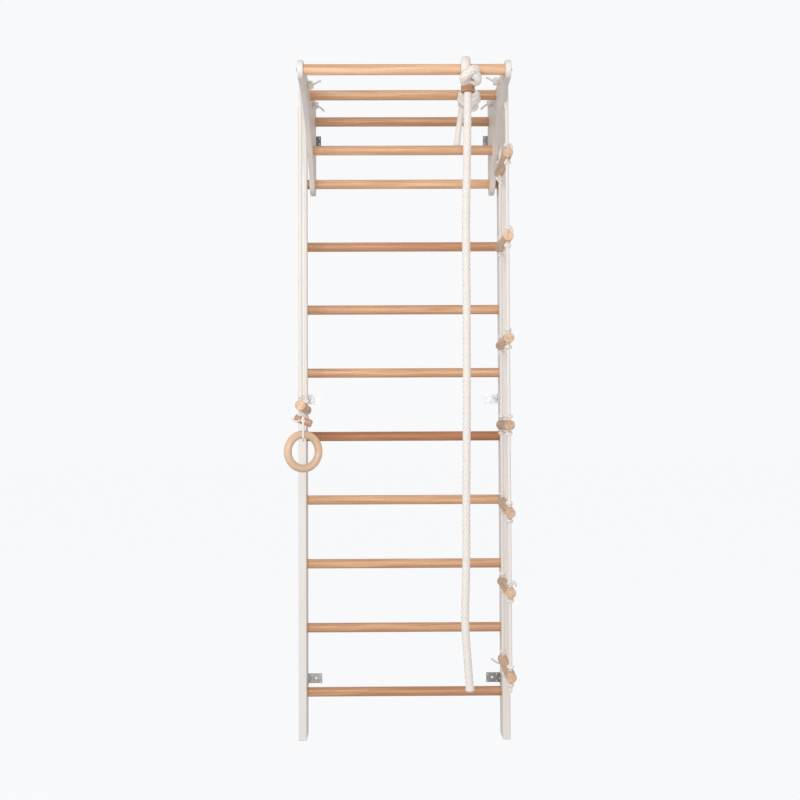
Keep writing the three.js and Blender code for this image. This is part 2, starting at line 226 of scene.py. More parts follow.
def beech_material(name, along, hung=False):
    """Beech with its grain along one axis of the object, or along U of the piece's UV map."""
    s = Shader(name, Coat_Weight=0.16, Coat_Roughness=0.28, IOR=1.5)

    def grain(run, across, move=(0, 0, 0)):
        if along == "uv":
            return s.place((run * 0.32, across * 0.07, 1), move, source="UV")
        scale = {"x": (run, across, across), "y": (across, run, across)}[along]
        return s.place(scale, move)

    tone = s.node("ShaderNodeAttribute", attribute_name="tone").outputs["Fac"]
    streaks = s.noise(grain(5, 210), detail=6, roughness=0.62, distortion=0.35)
    broad = s.noise(grain(2.2, 55, (3, 1, 7)), detail=3, roughness=0.5, distortion=0.6)
    dashes = s.noise(grain(190, 1500, (5, 2, 9)), detail=2, roughness=0.4)
    pores = s.ramp(dashes, [(0.55, 0.0), (0.68, 1.0)])
    config = settings()
    ends = (config.hung_wood_dark, config.hung_wood_light) if hung else (config.dark_wood, config.light_wood)
    base = s.mix(tone, *map(tuple, ends))
    deep = s.mix(1.0, base, (0.70, 0.56, 0.47), "MULTIPLY")
    light = s.mix(1.0, base, (1.10, 1.10, 1.12), "MULTIPLY")
    colour = s.mix(s.ramp(streaks, [(0.30, 0.0), (0.58, 1.0)]), deep, light)
    colour = s.mix(s.ramp(broad, [(0.36, 0.55), (0.60, 0.0)]), colour, deep)
    fleck = s.mix(1.0, base, (0.55, 0.40, 0.33), "MULTIPLY")
    colour = s.mix(s.math("MULTIPLY", pores, 0.5), colour, fleck)
    s.feed("Base Color", colour)
    s.feed("Roughness", spread_range(s, streaks, 0.52, 0.4))
    relief = s.math("SUBTRACT", streaks, s.math("MULTIPLY", pores, 0.7))
    return s.bump(relief, 0.35, 0.18 * MM)


def zinc_material(name="zinc", shade=1.0):
    s = Shader(name, Metallic=0.92, IOR=1.8)
    spangle = s.node("ShaderNodeTexVoronoi", {"Vector": s.place((190, 190, 190)), "Scale": 1.0})
    grey = s.node("ShaderNodeSeparateColor", {0: spangle.outputs["Color"]}).outputs[0]
    # A shade below 1 paints shade into the plate's colour.
    plate = tinted(settings().plate, (shade, shade, shade))
    dull = tinted(plate, (0.82, 0.82, 0.82))
    s.feed("Base Color", s.mix(grey, dull, plate))
    s.feed("Roughness", spread_range(s, s.noise(s.place((700, 700, 60)), detail=5), 0.28, 0.46))
    return s.bump(s.noise(s.place((900, 900, 900)), detail=3), 0.12, 0.05 * MM)


def recess_shade_material():
    # Painted shade: a near black cross on each screw head stands for the shadow inside its recess.
    s = Shader("screw_recess_shade", Metallic=0.7, Roughness=0.6)
    s.feed("Base Color", spread_range(s, s.noise(s.place((800, 800, 800))), 0.05, 0.1))
    return s.material


def rope_material():
    """Cotton: soft long yarns that follow the braid, with loose fibre over them, and painted shade in the
    hollows between the strands.
    """
    s = Shader("cotton_rope", Sheen_Weight=0.35, Sheen_Roughness=0.5, Specular_IOR_Level=0.2)
    lift = s.node("ShaderNodeAttribute", attribute_name="braid").outputs["Fac"]
    colour = tuple(settings().rope)
    shade = tinted(colour, (0.70, 0.63, 0.55))
    yarn = s.noise(s.place((46, 7, 1), source="UV"), detail=4, roughness=0.6, distortion=0.3)
    soil = s.noise(s.place((24, 24, 24)), detail=4)
    # Painted shade: where the braid is low, between the strands and at the domed ends, the cotton is
    # darkened.
    tone = s.mix(s.ramp(lift, [(0.0, 1.0), (0.55, 0.0)]), colour, shade)
    tone = s.mix(s.ramp(yarn, [(0.35, 0.35), (0.6, 0.0)]), tone, shade)
    tone = s.mix(s.ramp(soil, [(0.45, 0.0), (0.75, 0.35)]), tone, tinted(colour, (0.9, 0.9, 0.9)))
    s.feed("Base Color", tone)
    fuzz = s.noise(s.place((1600, 1600, 1600)), detail=3, roughness=0.7)
    s.feed("Roughness", spread_range(s, fuzz, 0.88, 1.0))
    height = s.math("ADD", s.math("MULTIPLY", yarn, 0.6), s.math("MULTIPLY", fuzz, 0.5))
    return s.bump(height, 0.55, 0.35 * MM)


def leather_material():
    s = Shader("leather", Specular_IOR_Level=0.45)
    colour = tuple(settings().leather)
    worn = tinted(colour, (1.7, 1.9, 2.1))
    patches = s.noise(s.place((70, 70, 70)), detail=5, roughness=0.65)
    s.feed("Base Color", s.mix(s.ramp(patches, [(0.4, 0.0), (0.75, 0.8)]), colour, worn))
    s.feed("Roughness", spread_range(s, patches, 0.45, 0.7))
    cells = s.node("ShaderNodeTexVoronoi", {"Vector": s.place((620, 620, 620)), "Scale": 1.0},
                   feature="DISTANCE_TO_EDGE").outputs["Distance"]
    return s.bump(cells, 0.5, 0.25 * MM)


MATERIALS = {}


def material(name):
    if name not in MATERIALS:
        MATERIALS[name] = {
            "paint": paint_material,
            "beech_x": lambda: beech_material("beech_along_x", "x"),
            "beech_pale": lambda: beech_material("beech_pale_along_y", "y", True),
            "beech_bent": lambda: beech_material("beech_bent", "uv", True),
            "zinc": zinc_material,
            # Darker copies of the zinc, with painted shade in their colour.
            "zinc_painted_shade": lambda: zinc_material("zinc_painted_shade", 0.62),
            "zinc_painted_deep_shade": lambda: zinc_material("zinc_painted_deep_shade", 0.36),
            "recess": recess_shade_material,
            "rope": rope_material,
            "leather": leather_material,
        }[name]()
    return MATERIALS[name]


# ---------------------------------------------------------------- meshes


def keep(obj, body, replaces=()):
    """Puts a finished piece in the scene, on its body, in place of the plain solids that it stands for."""
    bpy.context.scene.collection.objects.link(obj)
    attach(obj, body)
    if replaces:
        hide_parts(*replaces)


def from_arrays(name, points, faces, look, uv=None, values=None):
    mesh = bpy.data.meshes.new(name)
    mesh.from_pydata(points.tolist(), [], faces)
    mesh.materials.append(material(look))
    mesh.shade_smooth()
    if uv is not None:
        mesh.uv_layers.new(name="UVMap").data.foreach_set("uv", np.asarray(uv, np.float32).ravel())
    for key, value in (values or {}).items():
        layer = mesh.attributes.new(key, "FLOAT", "POINT")
        layer.data.foreach_set("value", np.asarray(value, np.float32))
    mesh.update()
    return bpy.data.objects.new(name, mesh)


def smooth_where(mesh, test):
    """Smooth shading on the faces that pass the test, and flat shading on the rest."""
    mesh.shade_smooth()
    for face in mesh.polygons:
        face.use_smooth = test(face)


def tidy_normals(mesh):
    work = bmesh.new()
    work.from_mesh(mesh)
    bmesh.ops.remove_doubles(work, verts=work.verts, dist=1e-6)
    bmesh.ops.recalc_face_normals(work, faces=work.faces)
    work.to_mesh(mesh)
    work.free()


def closed_faces(rows, columns):
    """The faces of a grid of points whose rows and columns both close on themselves."""
    return [(i * columns + j, (i + 1) % rows * columns + j, (i + 1) % rows * columns + (j + 1) % columns,
             i * columns + (j + 1) % columns) for i in range(rows) for j in range(columns)]


def spline(points, step, closed=False):
    """A smooth line through the points, as evenly spaced rows."""
    p = np.array(points, float)
    if closed:
        p = np.vstack([p[-1], p, p[0], p[1]])
    else:
        p = np.vstack([2 * p[0] - p[1], p, 2 * p[-1] - p[-2]])
    t = np.linspace(0, 1, 40, endpoint=False)[:, None]
    rows = []
    for a, b, c, d in zip(p, p[1:], p[2:], p[3:]):
        rows.append(0.5 * (2 * b + (c - a) * t + (2 * a - 5 * b + 4 * c - d) * t**2
                           + (3 * b - a - 3 * c + d) * t**3))
    line = np.vstack(rows + ([] if closed else [p[-2][None]]))
    return evenly(line, step, closed)


def evenly(line, step, closed=False):
    """The same line in rows that are about one step apart."""
    if closed:
        line = np.vstack([line, line[0]])
    along = np.concatenate([[0], np.cumsum(np.linalg.norm(np.diff(line, axis=0), axis=1))])
    count = max(4, round(along[-1] / step) + 1)
    at = np.linspace(0, along[-1], count)
    made = np.stack([np.interp(at, along, line[:, k]) for k in range(3)], axis=1)
    return made[:-1] if closed else made


def frames(line, closed):
    """Two directions across the line at each of its points, turning no more than they must."""
    ahead = np.roll(line, -1, 0) - np.roll(line, 1, 0)
    if not closed:
        ahead[0], ahead[-1] = line[1] - line[0], line[-1] - line[-2]
    ahead /= np.linalg.norm(ahead, axis=1)[:, None]
    start = np.array([1.0, 0, 0]) if abs(ahead[0][0]) < 0.9 else np.array([0, 1.0, 0])
    side = start - (start @ ahead[0]) * ahead[0]
    rows = [side / np.linalg.norm(side)]
    for direction in ahead[1:]:
        side = rows[-1] - (rows[-1] @ direction) * direction
        rows.append(side / np.linalg.norm(side))
    normal = np.array(rows)
    if closed:
        last = normal[-1] - (normal[-1] @ ahead[0]) * ahead[0]
        other = np.cross(ahead[0], normal[0])
        miss = math.atan2(last @ other, last @ normal[0])
        turn = -miss * np.arange(len(line)) / len(line)
        binormal = np.cross(ahead, normal)
        normal = normal * np.cos(turn)[:, None] + binormal * np.sin(turn)[:, None]
    return ahead, normal, np.cross(ahead, normal)


def braid_cell(radius, carriers):
    """The spacing, along the rope, of the strands that wind the same way."""
    return TAU * radius / carriers / math.tan(BRAID_ANGLE)


def braid(angle, along, radius, carriers):
    """Height from 0 to 1 of a braid's strands, where each goes over one and under one."""
    cell = braid_cell(radius, carriers)
    u = carriers * angle / TAU + along / cell
    v = carriers * angle / TAU - along / cell
    du, dv = u - np.floor(u) - 0.5, v - np.floor(v) - 0.5
    over = (np.floor(u) + np.floor(v)) % 2 < 1
    across, run = np.where(over, du, dv), np.where(over, dv, du)
    return np.sqrt(np.clip(1 - (2 * across) ** 2, 0, 1)) * (1 - 0.55 * (2 * run) ** 2)


def rope_rows(line, radius, sides, carriers, closed):
    """A ring of points round each point of the line, with the braid's height and the distance run at each."""
    ahead, normal, binormal = frames(line, closed)
    step = np.linalg.norm(line[1] - line[0])
    angle = np.arange(sides) * TAU / sides
    along = np.arange(len(line)) * step
    if closed:  # a whole number of braid repeats, so that the pattern meets itself
        cell = braid_cell(radius, carriers)
        whole = max(1, round(len(line) * step / cell / 2)) * 2 * cell
        along = along * whole / (len(line) * step)
    lift = braid(angle[None, :], along[:, None], radius, carriers)
    depth = settings().braid_depth
    reach = radius * (1 - depth + depth * 1.25 * lift)
    across = np.cos(angle)[None, :, None] * normal[:, None] + np.sin(angle)[None, :, None] * binormal[:, None]
    return line[:, None] + across * reach[..., None], lift, along, ahead


def rope_mesh(name, line, radius, closed=False, fray=0.0):
    """A braided tube along the line. An open one has domed ends, and fray spreads its last stretch."""
    carriers, sides = (6, 42) if radius > THIN_ROPE_R else (4, 20)
    rows, lift, along, ahead = rope_rows(line, radius, sides, carriers, closed)
    count = len(line)
    if fray:
        near = np.clip(1 - (along[-1] - along) / (fray * 1.6), 0, 1)[:, None, None]
        rows = line[:, None] + (rows - line[:, None]) * (1 + 0.14 * near**2)
    points, heights = [rows.reshape(-1, 3)], [lift.ravel()]
    faces, uv = [], []
    dome = radius * 0.45

    def band(a, b, v0, v1):
        for j in range(sides):
            k = (j + 1) % sides
            faces.append((a + j, a + k, b + k, b + j))
            u0, u1 = j / sides, (j + 1) / sides
            uv.extend([(u0, v0), (u1, v0), (u1, v1), (u0, v1)])

    scale = 1 / (TAU * radius)
    for i in range(count if closed else count - 1):
        v0 = along[i] * scale
        v1 = v0 + (along[1] - along[0]) * scale
        band(i * sides, (i + 1) % count * sides, v0, v1)
    total = count * sides
    if not closed:
        for end, way in ((0, -1), (count - 1, 1)):
            previous = end * sides
            for turn in (35, 62):
                a = math.radians(turn)
                shrunk = line[end] + (rows[end] - line[end]) * math.cos(a)
                shrunk = shrunk + ahead[end] * way * dome * math.sin(a)
                points.append(shrunk)
                heights.append(lift[end] * math.cos(a))
                first = (previous, total) if way > 0 else (total, previous)
                band(*first, along[end] * scale, along[end] * scale + 0.05)
                previous, total = total, total + sides
            points.append((line[end] + ahead[end] * way * dome)[None])
            heights.append(np.array([0.2]))
            for j in range(sides):
                k = (j + 1) % sides
                pair = (j, k) if way > 0 else (k, j)
                faces.append((previous + pair[0], previous + pair[1], total))
                uv.extend([(j / sides, 0), ((j + 1) / sides, 0), (j / sides, 0.1)])
            total += 1
    return from_arrays(name, np.vstack(points), faces, "rope", uv, {"braid": np.concatenate(heights)})


def joined(name, objects):
    """One mesh from several, each of which is used up."""
    made = bmesh.new()
    for obj in objects:
        made.from_mesh(obj.data)
    mesh = bpy.data.meshes.new(name)
    for look in objects[0].data.materials:
        mesh.materials.append(look)
    made.to_mesh(mesh)
    made.free()
    for obj in objects:
        bpy.data.objects.remove(obj)
    return bpy.data.objects.new(name, mesh)


def knot_mesh(name, centre, axis, radius, turn, size=0.56, depth=0.8):
    """An overhand knot, pulled tight, in rope of that radius, with its flat side across axis."""
    t = np.linspace(0, TAU, 90, endpoint=False) + turn
    flat = np.stack([np.sin(t) + 2 * np.sin(2 * t), np.cos(t) - 2 * np.cos(2 * t), -np.sin(3 * t)], 1)
    flat *= np.array([size, size, depth]) * radius
    turned = Vector((0, 0, 1)).rotation_difference(Vector(axis)).to_matrix()
    spun = turned @ Matrix.Rotation(turn * 1.7, 3, "Z")
    line = evenly(np.array(centre) + flat @ np.array(spun).T, 0.36 * radius, True)
    return rope_mesh(name, line, radius, closed=True)


# ---------------------------------------------------------------- geometry nodes


class Tree(Nodes):
    """A geometry node tree with named inputs."""

    def __init__(self, name, inputs):
        self.tree = bpy.data.node_groups.new(name, "GeometryNodeTree")
        self.sockets = {}
        interface = self.tree.interface
        interface.new_socket(name="Geometry", in_out="OUTPUT", socket_type="NodeSocketGeometry")
        interface.new_socket(name="Geometry", in_out="INPUT", socket_type="NodeSocketGeometry")
        for label, (kind, default) in inputs.items():
            socket = interface.new_socket(name=label, in_out="INPUT", socket_type=f"NodeSocket{kind}")
            if default is not None:
                socket.default_value = default
            self.sockets[label] = socket.identifier
        self.given = self.tree.nodes.new("NodeGroupInput").outputs

    def geometry(self, kind, links):
        return self.node("GeometryNode" + kind, links).outputs[0]

    def painted(self, geometry, look="Material"):
        return self.geometry("SetMaterial", {"Geometry": geometry, "Material": self.given[look]})

    def finish(self, geometry):
        self.node("NodeGroupOutput", {0: self.geometry("RealizeInstances", {"Geometry": geometry})})
        return self

    def run(self, name, start, values, edge=None):
        """The tree's result on a start mesh as a plain mesh object, its edges rounded if asked."""
        work = bpy.data.objects.new("work", start)
        bpy.context.scene.collection.objects.link(work)
        modifier = work.modifiers.new("tree", "NODES")
        modifier.node_group = self.tree
        for label, value in values.items():
            modifier[self.sockets[label]] = value
        if edge:
            bevel = work.modifiers.new("edge", "BEVEL")
            bevel.width, bevel.segments, bevel.limit_method = edge, 4, "ANGLE"
        graph = bpy.context.evaluated_depsgraph_get()
        mesh = bpy.data.meshes.new_from_object(work.evaluated_get(graph), preserve_all_data_layers=True,
                                               depsgraph=graph)
        mesh.name = name
        bpy.data.objects.remove(work)
        return bpy.data.objects.new(name, mesh)


def points_mesh(points):
    mesh = bpy.data.meshes.new("points")
    mesh.from_pydata([tuple(p) for p in points], [], [])
    return mesh


def rod_tree():
    """A turned rod between two points, with a tone of its own."""
    tree = Tree("turned_rod", {
        "Start": ("Vector", (0, 0, 0)), "End": ("Vector", (0.6, 0, 0)), "Radius": ("Float", BAR_R),
        "Sides": ("Int", 64), "Tone": ("Float", 0.6), "Material": ("Material", None)})
    line = tree.geometry("CurvePrimitiveLine", {"Start": tree.given["Start"], "End": tree.given["End"]})
    row = tree.geometry("ResampleCurve", {"Curve": line, "Count": 6})
    section = tree.geometry("CurvePrimitiveCircle",
                            {"Resolution": tree.given["Sides"], "Radius": tree.given["Radius"]})
    solid = tree.geometry("CurveToMesh", {"Curve": row, "Profile Curve": section, "Fill Caps": True})
    toned = tree.node("GeometryNodeStoreNamedAttribute",
                      {"Geometry": solid, "Name": "tone", "Value": tree.given["Tone"]},
                      data_type="FLOAT", domain="POINT").outputs[0]
    return tree.finish(tree.painted(toned))


def screw_tree():
    """A domed screw head on each point, facing along X, with a dark cross on it as painted shade for its
    recess.
    """
    tree = Tree("screw_heads", {
        "Radius": ("Float", 5 * MM), "Height": ("Float", 2.5 * MM), "Turn": ("Vector", (0, math.pi / 2, 0)),
        "Material": ("Material", None), "Recess": ("Material", None)})
    radius, height = tree.given["Radius"], tree.given["Height"]
    size = tree.node("ShaderNodeCombineXYZ", {0: radius, 1: radius, 2: height}).outputs[0]
    ball = tree.geometry("MeshUVSphere", {"Segments": 24, "Rings": 14, "Radius": 1.0})
    dome = tree.geometry("Transform", {"Geometry": ball, "Scale": size})
    head = tree.painted(tree.geometry("SetShadeSmooth", {"Geometry": dome}))
    thin = tree.math("MULTIPLY", radius, 0.24)
    deep = tree.math("MULTIPLY", height, 0.5)
    lift = tree.node("ShaderNodeCombineXYZ", {2: tree.math("MULTIPLY", height, 0.76)}).outputs[0]
    whole = tree.node("GeometryNodeJoinGeometry")
    for wide, tall in ((radius, thin), (thin, radius)):
        size = tree.node("ShaderNodeCombineXYZ", {0: wide, 1: tall, 2: deep}).outputs[0]
        block = tree.geometry("MeshCube", {"Size": size})
        moved = tree.geometry("Transform", {"Geometry": block, "Translation": lift})
        tree.tree.links.new(tree.painted(moved, "Recess"), whole.inputs[0])
    tree.tree.links.new(head, whole.inputs[0])
    return tree.finish(tree.geometry("InstanceOnPoints", {
        "Points": tree.given["Geometry"], "Instance": whole.outputs[0], "Rotation": tree.given["Turn"]}))


def stitch_tree():
    """A row of short waxed stitches round a collar."""
    tree = Tree("stitches", {
        "Radius": ("Float", 20 * MM), "Count": ("Int", 26), "Length": ("Float", 3 * MM),
        "Thickness": ("Float", 0.5 * MM), "Material": ("Material", None)})
    hoop = tree.geometry("MeshCircle", {"Vertices": tree.given["Count"], "Radius": tree.given["Radius"]})
    bead = tree.geometry("MeshUVSphere", {"Segments": 8, "Rings": 6, "Radius": 1.0})
    half = tree.math("MULTIPLY", tree.given["Length"], 0.5)
    thick = tree.given["Thickness"]
    size = tree.node("ShaderNodeCombineXYZ", {0: thick, 1: half, 2: thick}).outputs[0]
    grain = tree.geometry("Transform", {"Geometry": bead, "Scale": size})
    apart = tree.node("ShaderNodeSeparateXYZ", {0: tree.node("GeometryNodeInputPosition").outputs[0]})
    angle = tree.math("ARCTAN2", apart.outputs[1], apart.outputs[0])
    turn = tree.node("ShaderNodeCombineXYZ", {2: angle}).outputs[0]
    spots = tree.geometry("InstanceOnPoints", {"Points": hoop, "Instance": grain, "Rotation": turn})
    return tree.finish(tree.painted(spots))


TREES = {}


def tree(name):
    if name not in TREES:
        TREES[name] = {"rod": rod_tree, "screw": screw_tree, "stitch": stitch_tree}[name]()
    return TREES[name]


# ---------------------------------------------------------------- the studio and the camera

CAMERA_PLACE = (-0.047, -4.095, 1.012)
CAMERA_YAW, CAMERA_PITCH, CAMERA_ROLL = 0.52, 1.82, -0.24  # degrees, right, up and clockwise
CAMERA_LENS = 56.475
CAMERA_SHIFT = -0.0248
LIGHTS_AIM = (0, -0.2, 1.0)
TENT_STRENGTH = 0.55  # the even light from all round
TENT_COLOUR = (1.0, 0.955, 0.915)
FLOOR_GREY = 0.03
FLOOR_LIT = 0.02  # how much brighter the lights make the floor than its own glow
FLOOR_REACH = 30.0
SOFTBOXES = (("key", (-1.0, -4.6, 2.3), 1.7, 76), ("fill", (1.2, -4.4, 1.2), 1.9, 30),
             ("side", (-3.3, -1.7, 1.8), 1.5, 24))


def camera():
    yaw, pitch, roll = (math.radians(a) for a in (CAMERA_YAW, CAMERA_PITCH, CAMERA_ROLL))
    ahead = Vector((math.sin(yaw) * math.cos(pitch), math.cos(yaw) * math.cos(pitch), math.sin(pitch)))
    right = Vector((math.cos(yaw), -math.sin(yaw), 0))
    up = right.cross(ahead)
    across = right * math.cos(roll) + up * math.sin(roll)
    above = up * math.cos(roll) - right * math.sin(roll)
    data = bpy.data.cameras.new("camera")
    data.lens, data.sensor_width, data.shift_y = CAMERA_LENS, 36, CAMERA_SHIFT
    data.clip_end = 60
    obj = bpy.data.objects.new("camera", data)
    turned = Matrix((across, above, -ahead)).transposed().to_4x4()
    obj.matrix_world = Matrix.Translation(CAMERA_PLACE) @ turned
    bpy.context.scene.collection.objects.link(obj)
    bpy.context.scene.camera = obj


def area_light(name, place, size, power):
    data = bpy.data.lights.new(name, "AREA")
    data.shape, data.size, data.energy = "DISK", size, power
    obj = bpy.data.objects.new(name, data)
    obj.location = place
    obj.rotation_euler = (Vector(LIGHTS_AIM) - Vector(place)).to_track_quat("-Z", "Y").to_euler()
    bpy.context.scene.collection.objects.link(obj)


class WALLBARS_OT_stage(bpy.types.Operator):
    """Makes the camera, the pale floor and the soft studio light"""

    bl_idname = "wallbars.stage"
    bl_label = "Stage"

    def execute(self, context):
        camera()
        colour = tuple(settings().backdrop)
        world = bpy.data.worlds.new("studio")
        world.use_nodes = True
        nodes, link = world.node_tree.nodes, world.node_tree.links.new
        sky = next(n for n in nodes if n.type == "BACKGROUND")
        sky.inputs["Color"].default_value = (*colour, 1)
        tent = nodes.new("ShaderNodeBackground")
        tent.inputs["Color"].default_value = (*TENT_COLOUR, 1)
        tent.inputs["Strength"].default_value = TENT_STRENGTH
        seen, either = nodes.new("ShaderNodeLightPath"), nodes.new("ShaderNodeMixShader")
        link(seen.outputs["Is Camera Ray"], either.inputs[0])
        link(tent.outputs[0], either.inputs[1])
        link(sky.outputs[0], either.inputs[2])
        link(either.outputs[0], next(n for n in nodes if n.type == "OUTPUT_WORLD").inputs[0])
        context.scene.world = world
        context.scene.view_settings.view_transform = "Standard"
        for name, place, size, power in SOFTBOXES:
            area_light(name, place, size, power)
        s = Shader("studio_floor", Roughness=1.0, Specular_IOR_Level=0.0, Emission_Strength=1.0)
        s.surface.inputs["Base Color"].default_value = (FLOOR_GREY, FLOOR_GREY, FLOOR_GREY, 1)
        s.surface.inputs["Emission Color"].default_value = (*(c - FLOOR_LIT for c in colour), 1)
        mesh = bpy.data.meshes.new("floor")
        corners = [(x * FLOOR_REACH, y * FLOOR_REACH, 0) for x, y in ((-1, -1), (1, -1), (1, 1), (-1, 1))]
        mesh.from_pydata(corners, [], [(0, 1, 2, 3)])
        mesh.materials.append(s.material)
        floor = bpy.data.objects.new("floor", mesh)
        floor.location.z = -0.5 * MM
        floor.visible_diffuse = floor.visible_glossy = False
        context.scene.collection.objects.link(floor)
        return {"FINISHED"}


# ---------------------------------------------------------------- ropes and cords


def cord_piece(name, line, radius, body, replaces, fray=0.0):
    """A cord that hangs along the line."""
    piece = rope_mesh(name, line, radius, fray=fray)
    keep(piece, body, replaces)


def rope_turn(bar, x):
    """One closed turn of the thick rope round a bar, at that X, leaning a little."""
    around = BAR_R + ROPE_R + 0.4 * MM
    turn = [(x + 2 * MM * math.sin(a), bar.y + around * math.sin(a), bar.z + around * math.cos(a))
            for a in np.linspace(0, TAU, 24, endpoint=False)]
    return rope_mesh("turn", spline(turn, 2 * MM, True), ROPE_R, closed=True)


def strands(bar, routes):
    """Short ropes by a bar: each has a radius, and a route as [x, Y from the bar's middle, height] in mm."""
    made = []
    for radius, route in routes:
        line = spline([(x * MM, bar.y + dy * MM, z * MM) for x, dy, z in route], 2 * MM)
        made.append(rope_mesh("strand", line, radius))
    return made


def hanging_line(bar, path):
    """A smooth line under a bar through places given as [x, height] in millimetres."""
    return spline([(x * MM, bar.y, z * MM) for x, z in path], 2 * MM)


# The rope's turn round the front bar, which lies wider than a plain turn.
LOOP_X = 172 * MM
LOOP_STRETCH = 1.18
# The knot under the front bar: a thick band that slants over the turn, down to the left, two strands of the
# lobe at its right, and the rope itself as it leaves the knot.
KNOT_STRANDS = (
    (13.2 * MM, [(190, -6, 1968), (197, -17, 1973), (197, -32, 1978), (187, -42, 1975), (174, -42, 1965),
                 (166, -36, 1958), (165, -22, 1954), (171, -8, 1950), (180, -4, 1948)]),
    (10 * MM, [(186, -4, 1950), (196, -8, 1949), (203, -17, 1950), (202, -27, 1954), (194, -32, 1961),
               (184, -32, 1969), (176, -28, 1977)]),
    (10 * MM, [(202, -8, 1957), (205, -18, 1962), (200, -28, 1967), (192, -32, 1974), (184, -30, 1982)]),
    (11 * MM, [(177, 0, 1934), (177, -6, 1946), (176, -14, 1956), (174, -24, 1966)]),
)
# The rope's route from its collar to its cut end, with the bends that it hangs in.
ROPE_PATH = [(177, 1950.4), (174, 1763), (170, 1567), (170, 1344), (169, 1067), (166, 791), (165, 626),
             (161, 462), (167, 352), (173, 270)]
COLLAR_DROP = 3 * MM  # below the solid that stands for the collar
COLLAR_TALL = 20.5 * MM

HITCH_X = 193 * MM
# The hitch on the middle bar: two bights that show at the left of its turn, two at the right, one strand
# under the bar, and one that fills the gap beside the turn.
HITCH_STRANDS = tuple((8 * MM, route) for route in (
    [(194, -14, 2006), (184, -24, 1998), (173, -27, 1989), (176, -28, 1976), (188, -24, 1966)],
    [(186, -20, 1996), (172, -22, 1982), (170, -22, 1972), (180, -22, 1962), (192, -18, 1958)],
    [(200, -14, 2006), (211, -24, 1998), (223, -27, 1989), (220, -28, 1976), (206, -24, 1966)],
    [(212, -20, 1994), (224, -22, 1982), (225, -22, 1972), (214, -22, 1962), (204, -18, 1958)],
    [(170, 4, 1968), (182, 2, 1962), (198, 0, 1962), (212, 0, 1966)],
    [(204, -14, 2000), (212, -22, 1988), (213, -22, 1976), (204, -18, 1964)],
))
HITCH_BALL = (209 * MM, MIDDLE_BAR.y - 8 * MM, 1960 * MM)
TAIL_PATH = [(178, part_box("rope_hitch_tail")[1].z / MM), (172, 1920), (162, 1842)]


class WALLBARS_OT_climbing_rope(bpy.types.Operator):
    """Makes the climbing rope with its knot, its leather collar, and the hitch of its spare length"""

    bl_idname = "wallbars.climbing_rope"
    bl_label = "Climbing rope"

    def execute(self, context):
        loop = rope_turn(FRONT_BAR, LOOP_X)
        loop.data.transform(Matrix.Translation(((1 - LOOP_STRETCH) * LOOP_X, 0, 0))
                            @ Matrix.Diagonal((LOOP_STRETCH, 1, 1, 1)))
        top = joined("climbing_rope_knot_tied", [loop, *strands(FRONT_BAR, KNOT_STRANDS)])
        keep(top, "climbing_rope", ["climbing_rope_knot"])
        collar = self.collar()
        cord_piece("climbing_rope_braided", hanging_line(FRONT_BAR, ROPE_PATH), ROPE_R, "climbing_rope",
                   ["climbing_rope"], fray=14 * MM)
        self.hitch()
        return {"FINISHED"}

    def collar(self):
        low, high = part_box("climbing_rope_collar")
        centre, foot = (low + high) / 2, low.z - COLLAR_DROP
        outer, bore = (high.x - low.x) / 2, ROPE_R + 0.4 * MM
        outline = [(bore, 0.4), (bore + 2.2 * MM, 0.0), (outer - 1.6 * MM, 0.02), (outer - 0.2 * MM, 0.12),
                   (outer - 0.9 * MM, 0.3), (outer - 0.2 * MM, 0.5), (outer - 0.9 * MM, 0.7),
                   (outer - 0.2 * MM, 0.88), (outer - 1.6 * MM, 0.98), (bore + 2.2 * MM, 1.0), (bore, 0.6)]
        fine = spline([(r, 0, foot + share * COLLAR_TALL) for r, share in outline], 0.7 * MM, True)
        angle = np.arange(72) * TAU / 72
        wrap = 1 + 0.012 * np.sin(angle * 3 + 1.3) + 0.02 * (np.abs(angle - 4.3) < 0.25)
        radii = bore + (fine[:, 0] - bore)[None, :] * wrap[:, None]
        x = centre.x + radii * np.cos(angle)[:, None]
        y = centre.y + radii * np.sin(angle)[:, None]
        points = np.stack([x, y, np.broadcast_to(fine[:, 2], radii.shape)], -1).reshape(-1, 3)
        band = from_arrays("climbing_rope_collar_leather", points, closed_faces(*radii.shape), "leather")
        tidy_normals(band.data)
        keep(band, "climbing_rope", ["climbing_rope_collar"])
        rows = []
        for share in (0.2, 0.8):
            row = tree("stitch").run("row", points_mesh([(0, 0, 0)]), {
                "Radius": outer + 0.1 * MM, "Count": 26, "Length": 3.2 * MM, "Thickness": 0.55 * MM,
                "Material": material("rope")})
            row.data.transform(Matrix.Translation((centre.x, centre.y, foot + share * COLLAR_TALL)))
            row.data.shade_smooth()
            rows.append(row)
        stitches = joined("climbing_rope_collar_stitches", rows)
        keep(stitches, "climbing_rope")
        return [band, stitches]

    def hitch(self):
        ball = knot_mesh("ball", HITCH_BALL, (0.3, -1, 0.2), ROPE_R * 0.66, 0.6, depth=0.9)
        tied = joined("rope_hitch_tied",
                      [rope_turn(MIDDLE_BAR, HITCH_X), *strands(MIDDLE_BAR, HITCH_STRANDS), ball])
        keep(tied, "frame", ["rope_hitch"])
        cord_piece("rope_hitch_tail_braided", hanging_line(MIDDLE_BAR, TAIL_PATH), ROPE_R - 2 * MM, "frame",
                   ["rope_hitch_tail"], fray=26 * MM)


# How far each panel knot sits above the middle of its hole.
PANEL_KNOT_LIFTS = {("ladder", "front"): 9 * MM, ("ladder", "rear"): 5 * MM}
# The run of a panel knot's tail from the knot, as [inwards, along Y, height] in millimetres.
PANEL_TAILS = {"front": [(9, -2, 1), (19, -6, 6), (29, -9, 10)],
               "rear": [(9, -1, -4), (19, -4, -12), (27, -6, -20)]}


